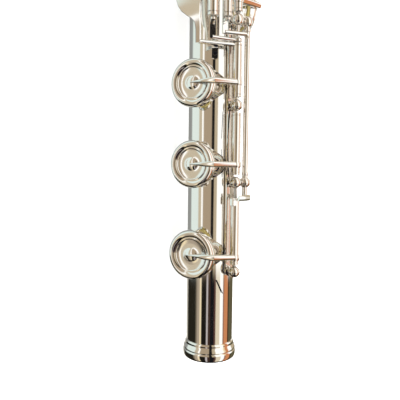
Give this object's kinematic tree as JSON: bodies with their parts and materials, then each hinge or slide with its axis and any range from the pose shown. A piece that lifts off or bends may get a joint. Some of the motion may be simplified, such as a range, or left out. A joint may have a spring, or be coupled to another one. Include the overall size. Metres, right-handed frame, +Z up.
{
  "type": "concert flute",
  "caption": "Silver-plated concert flute with a B foot: head, body and foot tubes, padded closed-hole keys on hinge rods, pinky rollers, lip plate and crown.",
  "frame": {"origin": "middle of the underside of the whole flute as it lies with its body keys up", "axes": "+X along the tube to the open foot end, +Z up out of the body keys, -Y to the side of the player"},
  "size_m": [0.709, 0.0386, 0.0383],
  "materials": {
    "silver_plate": "polished silver plate",
    "pad_skin": "thin translucent skin over felt",
    "cork": "natural cork",
    "steel": "ground"
  },
  "bodies": {
    "body_joint": {"body_tube": "silver_plate", "barrel": "silver_plate", "lower_rib": "silver_plate", "upper_rib": "silver_plate", "thumb_rib": "silver_plate", "trill_rib": "silver_plate", "g_sharp_rib": "silver_plate", "lower_steel": "steel", "upper_steel": "steel", "thumb_steel": "steel", "g_sharp_steel": "steel"},
    "head_joint": {"head_tube": "silver_plate", "lip_plate": "silver_plate", "riser": "silver_plate"},
    "crown": {"crown": "silver_plate"},
    "stopper": {"stopper_cork": "cork", "stopper_screw": "silver_plate"},
    "foot_joint": {"foot_tube": "silver_plate", "end_ring": "silver_plate", "foot_rib": "silver_plate", "socket_post": "silver_plate", "b_key_steel": "steel", "d_sharp_key_steel": "steel"},
    "c_key": {"c_key": "silver_plate", "c_pad": "pad_skin"},
    "c_sharp_key": {"c_sharp_key": "silver_plate", "c_sharp_pad": "pad_skin"},
    "d_sharp_key": {"d_sharp_key": "silver_plate", "d_sharp_pad": "pad_skin"},
    "b_lever": {"b_lever": "silver_plate"},
    "b_key": {"b_key": "silver_plate", "b_pad": "pad_skin"},
    "c_roller": {"c_roller": "silver_plate"},
    "b_roller": {"b_roller": "silver_plate"},
    "d_key": {"d_key": "silver_plate", "d_pad": "pad_skin"},
    "e_key": {"e_key": "silver_plate", "e_pad": "pad_skin"},
    "f_key": {"f_key": "silver_plate", "f_pad": "pad_skin"},
    "f_sharp_key": {"f_sharp_key": "silver_plate", "f_sharp_pad": "pad_skin"},
    "g_key": {"g_key": "silver_plate", "g_pad": "pad_skin"},
    "a_key": {"a_key": "silver_plate", "a_pad": "pad_skin"},
    "b_flat_key": {"b_flat_key": "silver_plate", "b_flat_pad": "pad_skin"},
    "c_sharp_upper_key": {"c_sharp_upper_key": "silver_plate", "c_sharp_upper_pad": "pad_skin"},
    "thumb_b_flat_key": {"thumb_b_flat_key": "silver_plate", "thumb_b_flat_pad": "pad_skin"},
    "thumb_b_key": {"thumb_b_key": "silver_plate", "thumb_b_pad": "pad_skin"},
    "g_sharp_key": {"g_sharp_key": "silver_plate", "g_sharp_pad": "pad_skin"},
    "d_trill_key": {"d_trill_key": "silver_plate", "d_trill_pad": "pad_skin"},
    "d_sharp_trill_key": {"d_sharp_trill_key": "silver_plate", "d_sharp_trill_pad": "pad_skin"}
  },
  "joints": [
    {"name": "tuning_slide", "type": "slide", "parent": "body_joint", "child": "head_joint", "axis": [-1, 0, 0], "range_m": [0, 0.012]},
    {"name": "foot_turn", "type": "hinge", "parent": "body_joint", "child": "foot_joint", "pos_m": [0.3545, 0.00121, 0.01937], "axis": [1, 0, 0], "range_deg": [-12, 12]},
    {"name": "crown_turn", "type": "hinge", "parent": "head_joint", "child": "crown", "pos_m": [0.3545, 0.00121, 0.01937], "axis": [-1, 0, 0], "range_deg": [-180, 180]},
    {"name": "stopper_slide", "type": "slide", "parent": "head_joint", "child": "stopper", "axis": [-1, 0, 0], "range_m": [-0.0006, 0.0006]},
    {"name": "c_key_press", "type": "hinge", "parent": "foot_joint", "child": "c_key", "pos_m": [0.2723, 0.00169, 0.03336], "axis": [1, 0, 0], "range_deg": [0, 7.5], "stiffness_Nm_per_rad": 0.03, "springref_deg": -11.46},
    {"name": "c_sharp_key_press", "type": "hinge", "parent": "foot_joint", "child": "c_sharp_key", "pos_m": [0.2723, 0.00169, 0.03336], "axis": [1, 0, 0], "range_deg": [0, 7.5], "stiffness_Nm_per_rad": 0.03, "springref_deg": -11.46},
    {"name": "d_sharp_key_press", "type": "hinge", "parent": "foot_joint", "child": "d_sharp_key", "pos_m": [0.2723, 0.00169, 0.03336], "axis": [1, 0, 0], "range_deg": [0, 7], "stiffness_Nm_per_rad": 0.03, "springref_deg": -11.46},
    {"name": "b_lever_press", "type": "hinge", "parent": "foot_joint", "child": "b_lever", "pos_m": [0.2723, 0.00675, 0.03372], "axis": [1, 0, 0], "range_deg": [0, 7.5], "stiffness_Nm_per_rad": 0.03, "springref_deg": -11.46},
    {"name": "b_key_press", "type": "hinge", "parent": "foot_joint", "child": "b_key", "pos_m": [0.2723, 0.00169, 0.03336], "axis": [1, 0, 0], "range_deg": [0, 7.5], "stiffness_Nm_per_rad": 0.03, "springref_deg": -11.46},
    {"name": "c_roller_spin", "type": "hinge", "parent": "c_key", "child": "c_roller", "pos_m": [0.20805, -0.01125, 0.03292], "axis": [1, 0, 0], "continuous": true},
    {"name": "b_roller_spin", "type": "hinge", "parent": "b_lever", "child": "b_roller", "pos_m": [0.20805, -0.0066, 0.03622], "axis": [1, 0, 0], "continuous": true},
    {"name": "d_key_press", "type": "hinge", "parent": "body_joint", "child": "d_key", "pos_m": [0.1714, -0.01115, 0.02595], "axis": [-1, 0, 0], "range_deg": [0, 8], "stiffness_Nm_per_rad": 0.03, "springref_deg": -11.46},
    {"name": "e_key_press", "type": "hinge", "parent": "body_joint", "child": "e_key", "pos_m": [0.1432, -0.01115, 0.02595], "axis": [-1, 0, 0], "range_deg": [0, 8], "stiffness_Nm_per_rad": 0.03, "springref_deg": -11.46},
    {"name": "f_key_press", "type": "hinge", "parent": "body_joint", "child": "f_key", "pos_m": [0.1154, -0.01115, 0.02595], "axis": [-1, 0, 0], "range_deg": [0, 8], "stiffness_Nm_per_rad": 0.03, "springref_deg": -11.46},
    {"name": "f_sharp_key_press", "type": "hinge", "parent": "body_joint", "child": "f_sharp_key", "pos_m": [0.0892, -0.01115, 0.02595], "axis": [-1, 0, 0], "range_deg": [0, 8], "stiffness_Nm_per_rad": 0.03, "springref_deg": -11.46},
    {"name": "g_key_press", "type": "hinge", "parent": "body_joint", "child": "g_key", "pos_m": [0.041, -0.01115, 0.02595], "axis": [-1, 0, 0], "range_deg": [0, 8], "stiffness_Nm_per_rad": 0.03, "springref_deg": -11.46},
    {"name": "a_key_press", "type": "hinge", "parent": "body_joint", "child": "a_key", "pos_m": [0.0189, -0.01115, 0.02595], "axis": [-1, 0, 0], "range_deg": [0, 8], "stiffness_Nm_per_rad": 0.03, "springref_deg": -11.46},
    {"name": "b_flat_key_press", "type": "hinge", "parent": "body_joint", "child": "b_flat_key", "pos_m": [-0.0019, -0.01115, 0.02595], "axis": [-1, 0, 0], "range_deg": [0, 8], "stiffness_Nm_per_rad": 0.03, "springref_deg": -11.46},
    {"name": "c_sharp_upper_key_press", "type": "hinge", "parent": "body_joint", "child": "c_sharp_upper_key", "pos_m": [-0.0475, -0.01115, 0.02595], "axis": [-1, 0, 0], "range_deg": [0, 8], "stiffness_Nm_per_rad": 0.03, "springref_deg": -11.46},
    {"name": "thumb_b_flat_key_press", "type": "hinge", "parent": "body_joint", "child": "thumb_b_flat_key", "pos_m": [0.0004, -0.01158, 0.01368], "axis": [1, 0, 0], "range_deg": [0, 8], "stiffness_Nm_per_rad": 0.06, "springref_deg": -34.38},
    {"name": "thumb_b_key_press", "type": "hinge", "parent": "body_joint", "child": "thumb_b_key", "pos_m": [-0.0224, -0.01158, 0.01368], "axis": [1, 0, 0], "range_deg": [0, 8], "stiffness_Nm_per_rad": 0.06, "springref_deg": -34.38},
    {"name": "g_sharp_key_press", "type": "hinge", "parent": "body_joint", "child": "g_sharp_key", "pos_m": [0.0651, 0.00121, 0.03337], "axis": [1, 0, 0], "range_deg": [0, 8], "stiffness_Nm_per_rad": 0.03, "springref_deg": -11.46},
    {"name": "d_trill_key_press", "type": "hinge", "parent": "body_joint", "child": "d_trill_key", "pos_m": [-0.063, -0.01278, 0.01986], "axis": [1, 0, 0], "range_deg": [0, 8], "stiffness_Nm_per_rad": 0.03, "springref_deg": -11.46},
    {"name": "d_sharp_trill_key_press", "type": "hinge", "parent": "body_joint", "child": "d_sharp_trill_key", "pos_m": [-0.063, -0.01278, 0.01986], "axis": [1, 0, 0], "range_deg": [0, 8], "stiffness_Nm_per_rad": 0.03, "springref_deg": -11.46}
  ],
  "couplings": [
    {"joint": "stopper_slide", "follows": "crown_turn", "m_per_rad": 0.000159},
    {"joint": "b_key_press", "follows": "b_lever_press", "ratio": 1},
    {"joint": "f_sharp_key_press", "follows": "f_key_press", "ratio": 1},
    {"joint": "b_flat_key_press", "follows": "a_key_press", "ratio": 1}
  ]
}
